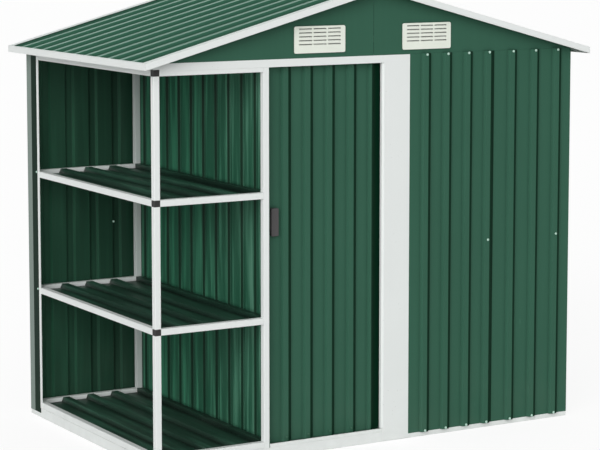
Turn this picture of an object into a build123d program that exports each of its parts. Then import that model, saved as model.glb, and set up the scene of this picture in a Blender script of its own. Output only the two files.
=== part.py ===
from build123d import *
import os
from math import cos, floor, radians, tan

os.makedirs("parts", exist_ok=True)

# Body. The width and depth lie between the frame's own outer faces, which the rails and sheets cover.
body_width = 1932
body_depth = 1184
beam_top = 1557.5
beam_height = 30
beam_flange = 60
sheet = 1
wall_lap = 1.5

# Base rails, a lying C
base_height = 40
base_foot_flange = 30
base_top_flange = 26
partition_rail_width = 40

# Ribs that are pressed into every sheet
rib_crest = 28
rib_flank = 7
rib_depth = 13
wall_rib_pitch = 108
wall_edge = 45
wall_foot = 19

# Open rack of square tubes at the left
tube = 25
tube_wall = 1.2
tube_round = 2
rack_width = 494
rack_back_gap = 36
rack_head_gap = 22.5
stub_length = 22
stub_gap = 0.3
connector_chamfer = 1.5
shelf_rib_pitch = 114
shelf_rib_depth = 17
shelf_edge = 60

# Corner at the back of the rack
corner_panel_width = 58
corner_angle_face = 43
corner_angle_leg = 44
corner_trim_face = 16

# Doorway, and the wall at its right
doorway_width = 515
stile_width = 127.5
stile_return = 18
stile_bevel = 7
stile_foot = 2
seam_offset = 5.75
inner_sheet_pitch = 101
inner_sheet_first_rib = 74.5
corner_sheet_pitch = 113
corner_sheet_first_rib = 93
corner_post_leg = 38

# Sliding door and its tracks
door_side_gap = 6
door_overlap = 12
door_setback = 25
door_floor_gap = 5
door_head_gap = 25.5
door_first_rib = 85
door_rib_pitch = 99.4
door_edge_crest = 11
door_edge_flat = 33.4
door_rail_depth = 12
door_rail_height = 24
glide_length = 50
glide_inset = 40
glide_margin = 1
glide_drop = 8
glide_rise = 18
track_clearance = 6
track_lip = 14.7
track_back_lip = 9
upper_track_drop = 16

# Door handle
handle_inset = 16
handle_width = 32
handle_height = 109
handle_depth = 14
handle_rise = 822
handle_round = 5
grip_depth = 9
grip_height = 81
grip_reach = 8

# Roof
roof_pitch = 15
eave_overhang = 60
verge_overhang = 57
eave_drop = 20.5
trim_height = 26
trim_lip = 8
verge_flange = 36
verge_crest = 30
roof_rib_pitch = 104
roof_fit = 0.1
ridge_gap = 2
ridge_cap_width = 180
ridge_beam_width = 40
ridge_beam_height = 30
gable_seam = 1

# Gable vents
vent_width = 230
vent_height = 105
vent_depth = 4
vent_round = 7
vent_offset = 248
vent_rise = 71
vent_flange = 6
slot_length = 57
slot_height = 5
slot_gap = 8
slot_pitch = 15
slot_rows = 5
slot_columns = 3
slot_drop = 9
slot_tilt = 40

# Places that follow from the sizes above, with the origin under the middle of the body
left = -body_width / 2
right = body_width / 2
front = -body_depth / 2
back = body_depth / 2
rib_base = rib_crest + 2 * rib_flank
wall_height = beam_top + wall_lap - wall_foot
eave_height = beam_top - eave_drop
slope = tan(radians(roof_pitch))
slope_run = cos(radians(roof_pitch))
rack_depth = body_depth - rack_back_gap
rack_right = left + rack_width
rack_back = front + rack_depth
shelf_spacing = (beam_top - rack_head_gap - tube - base_height) / 3
rack_levels = [base_height + number * shelf_spacing for number in range(4)]
rack_top = rack_levels[-1] + tube
tube_inside = tube - 2 * tube_wall
partition_face = rack_right + sheet
stile_left = rack_width + doorway_width
stile_right = stile_left + stile_width
front_seam = (stile_right + body_width) / 2 + seam_offset
corner_angle_start = body_depth - corner_angle_face
corner_panel_start = corner_angle_start - corner_panel_width
eave_left = left - eave_overhang
verge_front = front - verge_overhang


def roof_underside(x):
    """Height of the roof sheet's underside, where it lies flat between two ribs."""
    eave = eave_height + trim_height - 2 * sheet - roof_fit - rib_depth
    return eave + slope * (eave_overhang + body_width / 2 - abs(x))


def rib_line(start, length, pitch, edge, depth, first=None):
    """Points of a ribbed sheet, each a place along the sheet and a height above its flats."""
    if first is None:
        count = floor((length - 2 * edge - rib_base) / pitch) + 1
        first = (length - (count - 1) * pitch) / 2
    else:
        count = floor((length - first - rib_base / 2) / pitch) + 1
    points = [(start, 0)]
    for number in range(count):
        middle = start + first + number * pitch
        points.append((middle - rib_base / 2, 0))
        points.append((middle - rib_crest / 2, depth))
        points.append((middle + rib_crest / 2, depth))
        points.append((middle + rib_base / 2, 0))
    points.append((start + length, 0))
    return points


def folded(points):
    """Folded sheet in the open sketch: its line, made one sheet thick towards the line's right."""
    with BuildLine() as outline:
        Polyline(*points)
        offset(amount=sheet, side=Side.RIGHT, kind=Kind.INTERSECTION)
    make_face(outline.edges())


def beam_notch():
    """Cut in a beam's web round the front left connector of the rack's top ring."""
    notch_height = rack_top - beam_top + beam_height
    with Locations((left - sheet, front - sheet, beam_top - beam_height)):
        Box(
            tube + sheet,
            tube + sheet,
            notch_height,
            align=(Align.MIN, Align.MIN, Align.MIN),
            mode=Mode.SUBTRACT,
        )


def square_tube():
    """Section of the rack's square tube, in the open sketch."""
    RectangleRounded(tube, tube, tube_round)
    Rectangle(tube_inside, tube_inside, mode=Mode.SUBTRACT)


# Front and back base rails, over the full width
with BuildPart() as base_rail_front:
    with BuildSketch(Plane.YZ.offset(left)):
        folded([
            (front + base_foot_flange, 0),
            (front - sheet, 0),
            (front - sheet, base_height),
            (front + base_top_flange, base_height),
        ])
    extrude(amount=body_width)
    with BuildSketch(Plane.YZ.offset(left - sheet)):
        with Locations((front - sheet / 2, base_height / 2)):
            Rectangle(sheet, base_height)
    extrude(amount=body_width + 2 * sheet)
base_rail_front.part.label = "base_rail_front"
export_step(base_rail_front.part, "parts/base_rail_front.step")

with BuildPart() as base_rail_back:
    mirror(base_rail_front.part, about=Plane.XZ)
base_rail_back.part.label = "base_rail_back"
export_step(base_rail_back.part, "parts/base_rail_back.step")

# Side base rails, whose flanges stop short of the front and back rails
with BuildPart() as base_rails_side:
    with BuildSketch(Plane.XZ.offset(front + base_foot_flange)):
        folded([
            (left + base_foot_flange, 0),
            (left - sheet, 0),
            (left - sheet, base_height),
            (left + base_top_flange, base_height),
        ])
    extrude(amount=body_depth - 2 * base_foot_flange)
    with BuildSketch(Plane.YZ.offset(left - sheet)):
        with Locations((0, base_height / 2)):
            Rectangle(body_depth, base_height)
    extrude(amount=sheet)
    mirror(about=Plane.YZ)
base_rails_side.part.label = "base_rails_side"
export_step(base_rails_side.part, "parts/base_rails_side.step")

# Base rail under the partition
with BuildPart() as base_rail_partition:
    with BuildSketch(Plane.XZ.offset(front + base_foot_flange)):
        folded([
            (rack_right - tube + base_foot_flange, 0),
            (rack_right - tube, 0),
            (rack_right - tube, base_height),
            (rack_right - tube + partition_rail_width, base_height),
        ])
    extrude(amount=body_depth - 2 * base_foot_flange)
base_rail_partition.part.label = "base_rail_partition"
export_step(base_rail_partition.part, "parts/base_rail_partition.step")

# Rings of four tubes at each level of the rack
ring_names = ["rack_ring_bottom", "rack_ring_lower", "rack_ring_upper", "rack_ring_top"]
for ring_name, level in zip(ring_names, rack_levels):
    with BuildPart() as rack_ring:
        with BuildSketch(Plane.YZ.offset(left + tube)):
            with Locations(
                (front + tube / 2, level + tube / 2),
                (rack_back - tube / 2, level + tube / 2),
            ):
                square_tube()
        extrude(amount=rack_width - 2 * tube)
        with BuildSketch(Plane.XZ.offset(tube - rack_back)):
            with Locations(
                (left + tube / 2, level + tube / 2),
                (rack_right - tube / 2, level + tube / 2),
            ):
                square_tube()
        extrude(amount=rack_depth - 2 * tube)
    rack_ring.part.label = ring_name
    export_step(rack_ring.part, f"parts/{ring_name}.step")

# Posts of the rack: one through the whole height beside the doorway, the others cut at each ring
post_left = left + tube / 2
post_right = rack_right - tube / 2
post_front = front + tube / 2
post_back = rack_back - tube / 2
with BuildPart() as rack_posts_front:
    with BuildSketch(Plane.XY.offset(base_height)):
        with Locations((post_right, post_front)):
            square_tube()
    extrude(amount=rack_top - base_height)
    for level in rack_levels[:-1]:
        with BuildSketch(Plane.XY.offset(level + tube)):
            with Locations((post_left, post_front)):
                square_tube()
        extrude(amount=shelf_spacing - tube)
rack_posts_front.part.label = "rack_posts_front"
export_step(rack_posts_front.part, "parts/rack_posts_front.step")

with BuildPart() as rack_posts_back:
    for level in rack_levels[:-1]:
        with BuildSketch(Plane.XY.offset(level + tube)):
            with Locations((post_left, post_back), (post_right, post_back)):
                square_tube()
        extrude(amount=shelf_spacing - tube)
rack_posts_back.part.label = "rack_posts_back"
export_step(rack_posts_back.part, "parts/rack_posts_back.step")

# Plastic corner connectors, a cube with a stub in each tube that ends there
stub = tube_inside - 2 * stub_gap
stub_step = (tube + stub_length) / 2
ways_inward = {
    (post_left, post_front): (1, 1),
    (post_left, post_back): (1, -1),
    (post_right, post_back): (-1, -1),
}
with BuildPart() as rack_connectors:
    with Locations(*[(*corner, level + tube / 2) for corner in ways_inward for level in rack_levels]):
        Box(tube, tube, tube)
    chamfer(rack_connectors.edges(), connector_chamfer)
    for (x, y), (inward_x, inward_y) in ways_inward.items():
        with Locations(*[(x, y, level + tube / 2) for level in rack_levels]):
            with Locations((inward_x * stub_step, 0, 0)):
                Box(stub_length, stub, stub)
            with Locations((0, inward_y * stub_step, 0)):
                Box(stub, stub_length, stub)
        with Locations(*[(x, y, level + tube / 2 + stub_step) for level in rack_levels[:-1]]):
            Box(stub, stub, stub_length)
        with Locations(*[(x, y, level + tube / 2 - stub_step) for level in rack_levels[1:]]):
            Box(stub, stub, stub_length)
rack_connectors.part.label = "rack_connectors"
export_step(rack_connectors.part, "parts/rack_connectors.step")

# Ribbed trays that lie inside the three lower rings, with their crests level with the tubes
shelf_names = ["shelf_bottom", "shelf_lower", "shelf_upper"]
for shelf_name, level in zip(shelf_names, rack_levels):
    shelf_flat = level + tube - shelf_rib_depth
    tray_line = rib_line(left + tube, rack_width - 2 * tube, shelf_rib_pitch, shelf_edge, shelf_rib_depth)
    with BuildPart() as shelf:
        with BuildSketch(Plane.XZ.offset(tube - rack_back)):
            folded(
                [(left + tube, level)]
                + [(x, shelf_flat + height) for x, height in tray_line]
                + [(rack_right - tube, level)]
            )
        extrude(amount=rack_depth - 2 * tube)
    shelf.part.label = shelf_name
    export_step(shelf.part, f"parts/{shelf_name}.step")

# Ribbed partition between the rack and the room, with its ribs on the room's side
partition_line = rib_line(front, body_depth, wall_rib_pitch, wall_edge, rib_depth)
with BuildPart() as partition_wall:
    with BuildSketch(Plane.XY.offset(base_height)):
        folded([(rack_right + height, y) for y, height in partition_line])
    extrude(amount=beam_top - sheet - base_height)
partition_wall.part.label = "partition_wall"
export_step(partition_wall.part, "parts/partition_wall.step")

# Back walls, of the rack and of the room
rack_back_line = rib_line(left - sheet, rack_width + sheet, wall_rib_pitch, wall_edge, rib_depth)
with BuildPart() as rack_back_wall:
    with BuildSketch(Plane.XY.offset(wall_foot)):
        folded([(x, back + sheet + height) for x, height in reversed(rack_back_line)])
    extrude(amount=wall_height)
rack_back_wall.part.label = "rack_back_wall"
export_step(rack_back_wall.part, "parts/rack_back_wall.step")

room_width = body_width - rack_width
shed_back_line = rib_line(rack_right, room_width + 2 * sheet, wall_rib_pitch, wall_edge, rib_depth)
with BuildPart() as shed_back_wall:
    with BuildSketch(Plane.XY.offset(wall_foot)):
        folded([(x, back + sheet + height) for x, height in reversed(shed_back_line)])
    extrude(amount=wall_height)
shed_back_wall.part.label = "shed_back_wall"
export_step(shed_back_wall.part, "parts/shed_back_wall.step")

# Right wall, between the front and back sheets
right_line = rib_line(front - sheet, body_depth + 2 * sheet, wall_rib_pitch, wall_edge, rib_depth)
with BuildPart() as right_wall:
    with BuildSketch(Plane.XY.offset(wall_foot)):
        folded([(right + sheet + height, y) for y, height in right_line])
    extrude(amount=wall_height)
right_wall.part.label = "right_wall"
export_step(right_wall.part, "parts/right_wall.step")

# Front wall at the right of the doorway, in two sheets
inner_line = rib_line(
    left + stile_right,
    front_seam - stile_right,
    inner_sheet_pitch,
    wall_edge,
    rib_depth,
    inner_sheet_first_rib,
)
with BuildPart() as front_wall_inner:
    with BuildSketch(Plane.XY.offset(wall_foot)):
        folded([(x, front - sheet - height) for x, height in inner_line])
    extrude(amount=wall_height)
front_wall_inner.part.label = "front_wall_inner"
export_step(front_wall_inner.part, "parts/front_wall_inner.step")

corner_line = rib_line(
    left + front_seam,
    body_width + 2 * sheet - front_seam,
    corner_sheet_pitch,
    wall_edge,
    rib_depth,
    corner_sheet_first_rib,
)
with BuildPart() as front_wall_corner:
    with BuildSketch(Plane.XY.offset(wall_foot)):
        folded([(x, front - sheet - height) for x, height in corner_line])
    extrude(amount=wall_height)
front_wall_corner.part.label = "front_wall_corner"
export_step(front_wall_corner.part, "parts/front_wall_corner.step")

# Return of the back wall round the rack's back corner: a flat panel, an angle and an edge trim
with BuildPart() as rack_corner_panel:
    with BuildSketch(Plane.XY.offset(wall_foot)):
        folded([
            (left - 2 * sheet, front + corner_panel_start),
            (left - 2 * sheet, front + corner_angle_start),
        ])
    extrude(amount=wall_height)
rack_corner_panel.part.label = "rack_corner_panel"
export_step(rack_corner_panel.part, "parts/rack_corner_panel.step")

angle_corner = (left - 2 * sheet, back + 3 * sheet)
with BuildPart() as rack_corner_angle:
    with BuildSketch(Plane.XY.offset(wall_foot)):
        folded([
            (angle_corner[0], front + corner_angle_start),
            angle_corner,
            (angle_corner[0] + corner_angle_leg, angle_corner[1]),
        ])
    extrude(amount=wall_height)
rack_corner_angle.part.label = "rack_corner_angle"
export_step(rack_corner_angle.part, "parts/rack_corner_angle.step")

trim_corner = (left - 3 * sheet, front + corner_panel_start - corner_trim_face)
with BuildPart() as rack_corner_trim:
    with BuildSketch(Plane.XY.offset(base_height)):
        folded([
            (left, trim_corner[1]),
            trim_corner,
            (trim_corner[0], front + corner_panel_start + sheet),
        ])
    extrude(amount=beam_top - beam_height - base_height)
rack_corner_trim.part.label = "rack_corner_trim"
export_step(rack_corner_trim.part, "parts/rack_corner_trim.step")

# Beams on top of the walls: front, back, both sides and over the partition
with BuildPart() as beam_back:
    with BuildSketch(Plane.YZ.offset(left)):
        folded([
            (back - beam_flange, beam_top),
            (back + sheet, beam_top),
            (back + sheet, beam_top - beam_height),
        ])
    extrude(amount=body_width)
    with BuildSketch(Plane.YZ.offset(left - sheet)):
        with Locations((back + sheet / 2, beam_top - beam_height / 2)):
            Rectangle(sheet, beam_height)
    extrude(amount=body_width + 2 * sheet)
beam_back.part.label = "beam_back"
export_step(beam_back.part, "parts/beam_back.step")

with BuildPart() as beam_front:
    mirror(beam_back.part, about=Plane.XZ)
    beam_notch()
beam_front.part.label = "beam_front"
export_step(beam_front.part, "parts/beam_front.step")

side_beam_top = roof_underside(left - sheet) - roof_fit
with BuildPart() as beams_side:
    with BuildSketch(Plane.XZ.offset(front)):
        folded([
            (left - sheet, beam_top - beam_height),
            (left - sheet, side_beam_top),
            (left + beam_flange, side_beam_top),
        ])
    extrude(amount=body_depth)
    mirror(about=Plane.YZ)
    beam_notch()
beams_side.part.label = "beams_side"
export_step(beams_side.part, "parts/beams_side.step")

with BuildPart() as beam_partition:
    with BuildSketch(Plane.XZ.offset(front + beam_flange)):
        folded([
            (rack_right - tube, rack_top),
            (rack_right - tube, beam_top - sheet),
            (rack_right, beam_top - sheet),
            (rack_right, rack_top),
        ])
    extrude(amount=body_depth - 2 * beam_flange)
beam_partition.part.label = "beam_partition"
export_step(beam_partition.part, "parts/beam_partition.step")

# Angle posts inside the room's outer corners
with BuildPart() as corner_posts:
    with BuildSketch(Plane.XY.offset(base_height)):
        folded([
            (right, front + corner_post_leg),
            (right, front),
            (right - corner_post_leg, front),
        ])
    extrude(amount=beam_top - sheet - base_height)
    mirror(about=Plane.XZ)
corner_posts.part.label = "corner_posts"
export_step(corner_posts.part, "parts/corner_posts.step")

# Stile beside the doorway: a bevelled face with a return at each side, and flat ends over the rail and beam
lip_top = base_height + track_lip
stile_middle = left + (stile_left + stile_right) / 2
with BuildPart() as door_stile:
    with BuildSketch(Plane.XY.offset(lip_top)):
        folded([
            (left + stile_right, front + stile_return),
            (left + stile_right, front - 2 * sheet),
            (left + stile_left + stile_bevel, front - 2 * sheet),
            (left + stile_left, front - 2 * sheet + stile_bevel),
            (left + stile_left, front + stile_return),
        ])
    extrude(amount=beam_top - beam_height - lip_top)
    with BuildSketch(Plane.XZ.offset(sheet - front)):
        with Locations((stile_middle, (stile_foot + lip_top) / 2)):
            Rectangle(stile_width, lip_top - stile_foot)
        with Locations((stile_middle, beam_top - beam_height / 2)):
            Rectangle(stile_width, beam_height)
    extrude(amount=sheet)
door_stile.part.label = "door_stile"
export_step(door_stile.part, "parts/door_stile.step")

# Gables, each in two halves with a seam under the ridge and an opening behind each vent
vent_middle = beam_top + vent_rise
with BuildPart() as gable_front:
    with BuildSketch(Plane.XZ.offset(-front)):
        with BuildLine():
            Polyline(
                (left - sheet, beam_top),
                (-gable_seam / 2, beam_top),
                (-gable_seam / 2, roof_underside(gable_seam / 2) - roof_fit),
                (left - sheet, roof_underside(left - sheet) - roof_fit),
                close=True,
            )
        make_face()
        with Locations((-vent_offset, vent_middle)):
            Rectangle(vent_width - 2 * vent_flange, vent_height - 2 * vent_flange, mode=Mode.SUBTRACT)
    extrude(amount=sheet)
    mirror(about=Plane.YZ)
gable_front.part.label = "gable_front"
export_step(gable_front.part, "parts/gable_front.step")

with BuildPart() as gable_back:
    mirror(gable_front.part, about=Plane.XZ)
gable_back.part.label = "gable_back"
export_step(gable_back.part, "parts/gable_back.step")

# Vents on the faces of both gables, whose slots rise inwards so that rain runs out of them
slot_middle = vent_middle + vent_height / 2 - slot_drop - (slot_rows - 1) * slot_pitch / 2 - slot_height / 2
slot_run = cos(radians(slot_tilt))
slot_path = (0, slot_run, (1 - slot_run**2) ** 0.5)
with BuildPart() as vents:
    with BuildSketch(Plane.XZ.offset(sheet - front)):
        with Locations((-vent_offset, vent_middle)):
            RectangleRounded(vent_width, vent_height, vent_round)
    extrude(amount=vent_depth)
    with BuildSketch(Plane.XZ.offset(sheet + vent_depth - front)):
        with Locations((-vent_offset, slot_middle)):
            with GridLocations(slot_length + slot_gap, slot_pitch, slot_columns, slot_rows):
                Rectangle(slot_length, slot_height)
    extrude(amount=vent_depth / slot_run, dir=slot_path, mode=Mode.SUBTRACT)
    mirror(about=Plane.YZ)
    mirror(about=Plane.XZ)
vents.part.label = "vents"
export_step(vents.part, "parts/vents.step")

# Ridge beam between the gables
ridge_beam_top = roof_underside(ridge_beam_width / 2) - roof_fit
with BuildPart() as ridge_beam:
    with BuildSketch(Plane.XZ.offset(front)):
        folded([
            (-ridge_beam_width / 2, ridge_beam_top - ridge_beam_height),
            (-ridge_beam_width / 2, ridge_beam_top),
            (ridge_beam_width / 2, ridge_beam_top),
            (ridge_beam_width / 2, ridge_beam_top - ridge_beam_height),
        ])
    extrude(amount=body_depth)
ridge_beam.part.label = "ridge_beam"
export_step(ridge_beam.part, "parts/ridge_beam.step")

# Roof sheets, with ribs that run from the eave to the ridge and raised edges under the verge trims
up_slope = (slope_run, 0, (1 - slope_run**2) ** 0.5)
roof_edge = verge_overhang - sheet - roof_fit
roof_start = eave_left + sheet + roof_fit
roof_end = back + roof_edge
roof_ribs = rib_line(-roof_end, 2 * roof_end, roof_rib_pitch, roof_edge, rib_depth)
raised_edge = [
    (roof_end, rib_depth),
    (roof_end - verge_crest, rib_depth),
    (roof_end - verge_crest - rib_flank, 0),
]
roof_line = [(-y, height) for y, height in raised_edge] + roof_ribs[1:-1] + raised_edge[::-1]
with BuildPart() as roof_left:
    with BuildSketch(Plane.YZ.offset(roof_start)):
        folded([(y, roof_underside(roof_start) + sheet + height) for y, height in roof_line])
    extrude(amount=(-ridge_gap - roof_start) / slope_run, dir=up_slope)
roof_left.part.label = "roof_left"
export_step(roof_left.part, "parts/roof_left.step")

with BuildPart() as roof_right:
    mirror(roof_left.part, about=Plane.YZ)
roof_right.part.label = "roof_right"
export_step(roof_right.part, "parts/roof_right.step")

# Trims along the eaves, between the verge trims
with BuildPart() as eave_trims:
    with BuildSketch(Plane.XZ.offset(verge_front + sheet)):
        folded([
            (eave_left + trim_lip, eave_height),
            (eave_left, eave_height),
            (eave_left, eave_height + trim_height),
            (eave_left + trim_lip - sheet, eave_height + trim_height + slope * (trim_lip - sheet)),
        ])
    extrude(amount=body_depth + 2 * (verge_overhang - sheet))
    mirror(about=Plane.YZ)
eave_trims.part.label = "eave_trims"
export_step(eave_trims.part, "parts/eave_trims.step")

# Trims up the verges, whose faces cover the eave trims' ends
verge_foot = eave_height + slope * trim_lip
with BuildPart() as verge_trim_front:
    with BuildSketch(Plane.YZ.offset(eave_left + trim_lip)):
        folded([
            (verge_front + trim_lip, verge_foot),
            (verge_front, verge_foot),
            (verge_front, verge_foot + trim_height),
            (verge_front + verge_flange, verge_foot + trim_height),
        ])
    extrude(amount=(-gable_seam / 2 - eave_left - trim_lip) / slope_run, dir=up_slope)
    with BuildSketch(Plane.YZ.offset(eave_left)):
        with Locations((verge_front + sheet / 2, eave_height + trim_height / 2)):
            Rectangle(sheet, trim_height)
    extrude(amount=trim_lip / slope_run, dir=up_slope)
    mirror(about=Plane.YZ)
verge_trim_front.part.label = "verge_trim_front"
export_step(verge_trim_front.part, "parts/verge_trim_front.step")

with BuildPart() as verge_trim_back:
    mirror(verge_trim_front.part, about=Plane.XZ)
verge_trim_back.part.label = "verge_trim_back"
export_step(verge_trim_back.part, "parts/verge_trim_back.step")

# Folded cap over the ridge
cap_eave = eave_height + trim_height + roof_fit + sheet / slope_run
cap_peak = cap_eave + slope * (eave_overhang + body_width / 2)
cap_edge = cap_peak - slope * ridge_cap_width / 2
with BuildPart() as ridge_cap:
    with BuildSketch(Plane.XZ.offset(verge_front)):
        folded([(-ridge_cap_width / 2, cap_edge), (0, cap_peak), (ridge_cap_width / 2, cap_edge)])
    extrude(amount=body_depth + 2 * verge_overhang)
ridge_cap.part.label = "ridge_cap"
export_step(ridge_cap.part, "parts/ridge_cap.step")

# Sliding door: a ribbed panel whose flat right edge, after a narrow last rib, overlaps the stile from behind
door_width = doorway_width - sheet - door_side_gap + door_overlap
door_left = partition_face + door_side_gap
door_foot = base_height + sheet + door_floor_gap
door_head = beam_top - door_head_gap
door_back = front + door_setback + rib_depth + sheet
edge_start = door_width - door_edge_flat - door_edge_crest - 2 * rib_flank
door_line = rib_line(door_left, edge_start, door_rib_pitch, wall_edge, rib_depth, door_first_rib)
door_line += [
    (door_left + edge_start + rib_flank, rib_depth),
    (door_left + edge_start + rib_flank + door_edge_crest, rib_depth),
    (door_left + door_width - door_edge_flat, 0),
    (door_left + door_width, 0),
]
with BuildPart() as door_panel:
    with BuildSketch(Plane.XY.offset(door_foot)):
        folded([(x, door_back - height) for x, height in door_line])
    extrude(amount=door_head - door_foot)
door_panel.part.label = "door_panel"
export_step(door_panel.part, "parts/door_panel.step")

# Channels behind the door's lower and upper edges, the lower one held above the track by its glides
with BuildPart() as door_rails:
    for rail_foot in (door_foot + glide_drop, door_head - door_rail_height):
        with BuildSketch(Plane.YZ.offset(door_left)):
            folded([
                (door_back + door_rail_depth, rail_foot),
                (door_back, rail_foot),
                (door_back, rail_foot + door_rail_height),
                (door_back + door_rail_depth, rail_foot + door_rail_height),
            ])
        extrude(amount=door_width)
door_rails.part.label = "door_rails"
export_step(door_rails.part, "parts/door_rails.step")

# Glides below and above the channels, near both ends of the door
glide_front = door_back + glide_margin
glide_back = door_back + door_rail_depth - glide_margin
glide_middle = (door_left + door_width / 2, (glide_front + glide_back) / 2)
glide_reach = door_width - 2 * glide_inset - glide_length
with BuildPart() as door_glides:
    for glide_foot, glide_height in ((door_foot, glide_drop), (door_head, glide_rise)):
        with Locations((*glide_middle, glide_foot + glide_height / 2)):
            with GridLocations(glide_reach, 0, 2, 1):
                Box(glide_length, glide_back - glide_front, glide_height)
door_glides.part.label = "door_glides"
export_step(door_glides.part, "parts/door_glides.step")

# Pull handle, hollowed from its left side
handle_left = door_left + handle_inset
handle_foot = door_foot + handle_rise
handle_back = door_back - sheet
with BuildPart() as door_handle:
    with BuildSketch(Plane.XZ.offset(-handle_back)):
        with Locations((handle_left + handle_width / 2, handle_foot + handle_height / 2)):
            RectangleRounded(handle_width, handle_height, handle_round)
    extrude(amount=handle_depth)
    grip_middle_y = handle_back - handle_depth / 2
    with Locations((handle_left + grip_reach / 2, grip_middle_y, handle_foot + handle_height / 2)):
        Box(grip_reach, grip_depth, grip_height, mode=Mode.SUBTRACT)
door_handle.part.label = "door_handle"
export_step(door_handle.part, "parts/door_handle.step")

# Tracks in which the glides run, from the partition to the far corner post
track_left = partition_face + sheet
track_length = right - corner_post_leg - sheet - track_left
track_front = glide_front - track_clearance - sheet
track_back = glide_back + track_clearance + sheet
with BuildPart() as door_tracks:
    with BuildSketch(Plane.YZ.offset(track_left)):
        folded([
            (track_back, base_height + track_back_lip),
            (track_back, base_height),
            (front, base_height),
            (front, lip_top),
        ])
        folded([
            (track_front, beam_top - sheet - upper_track_drop),
            (track_front, beam_top - sheet),
            (track_back, beam_top - sheet),
            (track_back, beam_top - sheet - upper_track_drop),
        ])
    extrude(amount=track_length)
door_tracks.part.label = "door_tracks"
export_step(door_tracks.part, "parts/door_tracks.step")
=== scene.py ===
"""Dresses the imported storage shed: painted sheets, coated steel, screws, and the studio round it."""

import logging
from abc import ABC, abstractmethod
from dataclasses import dataclass, field, replace
from enum import Enum
from functools import cache
from math import cos, pi, radians, sin
from random import Random
from typing import Iterator, Sequence

import bpy
from mathutils import Color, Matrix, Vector


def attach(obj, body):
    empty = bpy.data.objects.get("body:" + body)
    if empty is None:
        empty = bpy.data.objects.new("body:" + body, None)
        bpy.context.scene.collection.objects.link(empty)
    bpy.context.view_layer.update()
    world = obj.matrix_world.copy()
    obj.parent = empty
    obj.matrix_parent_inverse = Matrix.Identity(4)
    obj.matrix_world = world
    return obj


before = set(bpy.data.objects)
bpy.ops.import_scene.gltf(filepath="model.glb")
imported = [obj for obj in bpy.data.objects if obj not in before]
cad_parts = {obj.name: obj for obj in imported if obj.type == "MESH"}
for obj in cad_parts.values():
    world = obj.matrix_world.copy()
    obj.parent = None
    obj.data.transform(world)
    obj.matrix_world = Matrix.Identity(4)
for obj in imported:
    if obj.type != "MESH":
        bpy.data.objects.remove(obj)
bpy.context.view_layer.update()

MM = 0.001
X, Y, Z = range(3)
TOUCH = 0.1 * MM
PLACE_DIGITS = 5
SHADER_SAMPLES = 4
TOP_LEVEL = 255
log = logging.getLogger("shed")

Colour = tuple[float, float, float]


def paint(red: int, green: int, blue: int) -> Colour:
    """Linear colour of a screen colour.

    Args:
        red: Red from 0 to 255.
        green: Green from 0 to 255.
        blue: Blue from 0 to 255.

    Returns:
        The colour in linear light.
    """
    return tuple(Color([level / TOP_LEVEL for level in (red, green, blue)]).from_srgb_to_scene_linear())


def shade(colour: Colour, gain: float, lift: float = 0.0) -> Colour:
    """A darker or paler colour.

    Args:
        colour: The colour that it is made from.
        gain: What each channel is multiplied by.
        lift: What is added to each channel.

    Returns:
        The colour, with no channel over 1.
    """
    return tuple(min(1.0, channel * gain + lift) for channel in colour)


class Axis(Enum):
    """Ways in which a sheet was rolled, along which its streaks run."""

    ACROSS = (0.06, 1.0, 1.0)
    DEEP = (1.0, 0.06, 1.0)
    UPRIGHT = (1.0, 1.0, 0.06)


class Way(Enum):
    """Directions in which a face or a screw head looks."""

    FRONT = Vector((0, -1, 0))
    BACK = Vector((0, 1, 0))
    LEFT = Vector((-1, 0, 0))
    RIGHT = Vector((1, 0, 0))
    UP = Vector((0, 0, 1))


@dataclass(frozen=True)
class Band:
    """Values between which a mask rises from 0 to 1. The full one may be the lower."""

    start: float
    full: float


@dataclass(frozen=True)
class Clouds:
    """A cloudy noise: how many clouds lie on a metre, their octaves, and what each axis is multiplied by."""

    per_metre: float
    detail: float
    stretch: tuple[float, float, float] = (1.0, 1.0, 1.0)

    def along(self, axis: Axis) -> "Clouds":
        """The clouds drawn out into streaks along an axis."""
        return replace(self, stretch=axis.value)


@dataclass(frozen=True, eq=False)
class Value:
    """A number that varies over a surface: an output socket, on which Python's operators add Math nodes."""

    tree: "Tree"
    socket: bpy.types.NodeSocket

    def _math(self, operation: str, *operands: "Value | float", clamp: bool = False) -> "Value":
        """Adds one Math node.

        Args:
            operation: The node's operation.
            operands: Its inputs in order.
            clamp: Whether the result is kept between 0 and 1.

        Returns:
            The node's result.
        """
        node = self.tree.node(
            "ShaderNodeMath", {"operation": operation, "use_clamp": clamp}, dict(enumerate(operands))
        )
        return Value(self.tree, node.outputs[0])

    def __add__(self, other: "Value | float") -> "Value":
        """Sum."""
        return self._math("ADD", self, other)

    __radd__ = __add__

    def __sub__(self, other: "Value | float") -> "Value":
        """Difference."""
        return self._math("SUBTRACT", self, other)

    def __rsub__(self, other: float) -> "Value":
        """Difference from a number."""
        return self._math("SUBTRACT", other, self)

    def __mul__(self, other: "Value | float") -> "Value":
        """Product."""
        return self._math("MULTIPLY", self, other)

    __rmul__ = __mul__

    def __truediv__(self, other: float) -> "Value":
        """Quotient."""
        return self._math("DIVIDE", self, other)

    def __pow__(self, other: float) -> "Value":
        """Power."""
        return self._math("POWER", self, other)

    def ramp(self, band: Band) -> "Value":
        """A mask that rises from 0 to 1 over a band, and stays there."""
        return self._math("MULTIPLY", self - band.start, 1 / (band.full - band.start), clamp=True)

    def fraction(self) -> "Value":
        """What stands above the whole number, from 0 to 1."""
        return self._math("FRACT", self)

    def most(self, other: "Value | float") -> "Value":
        """The larger of two."""
        return self._math("MAXIMUM", self, other)


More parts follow.
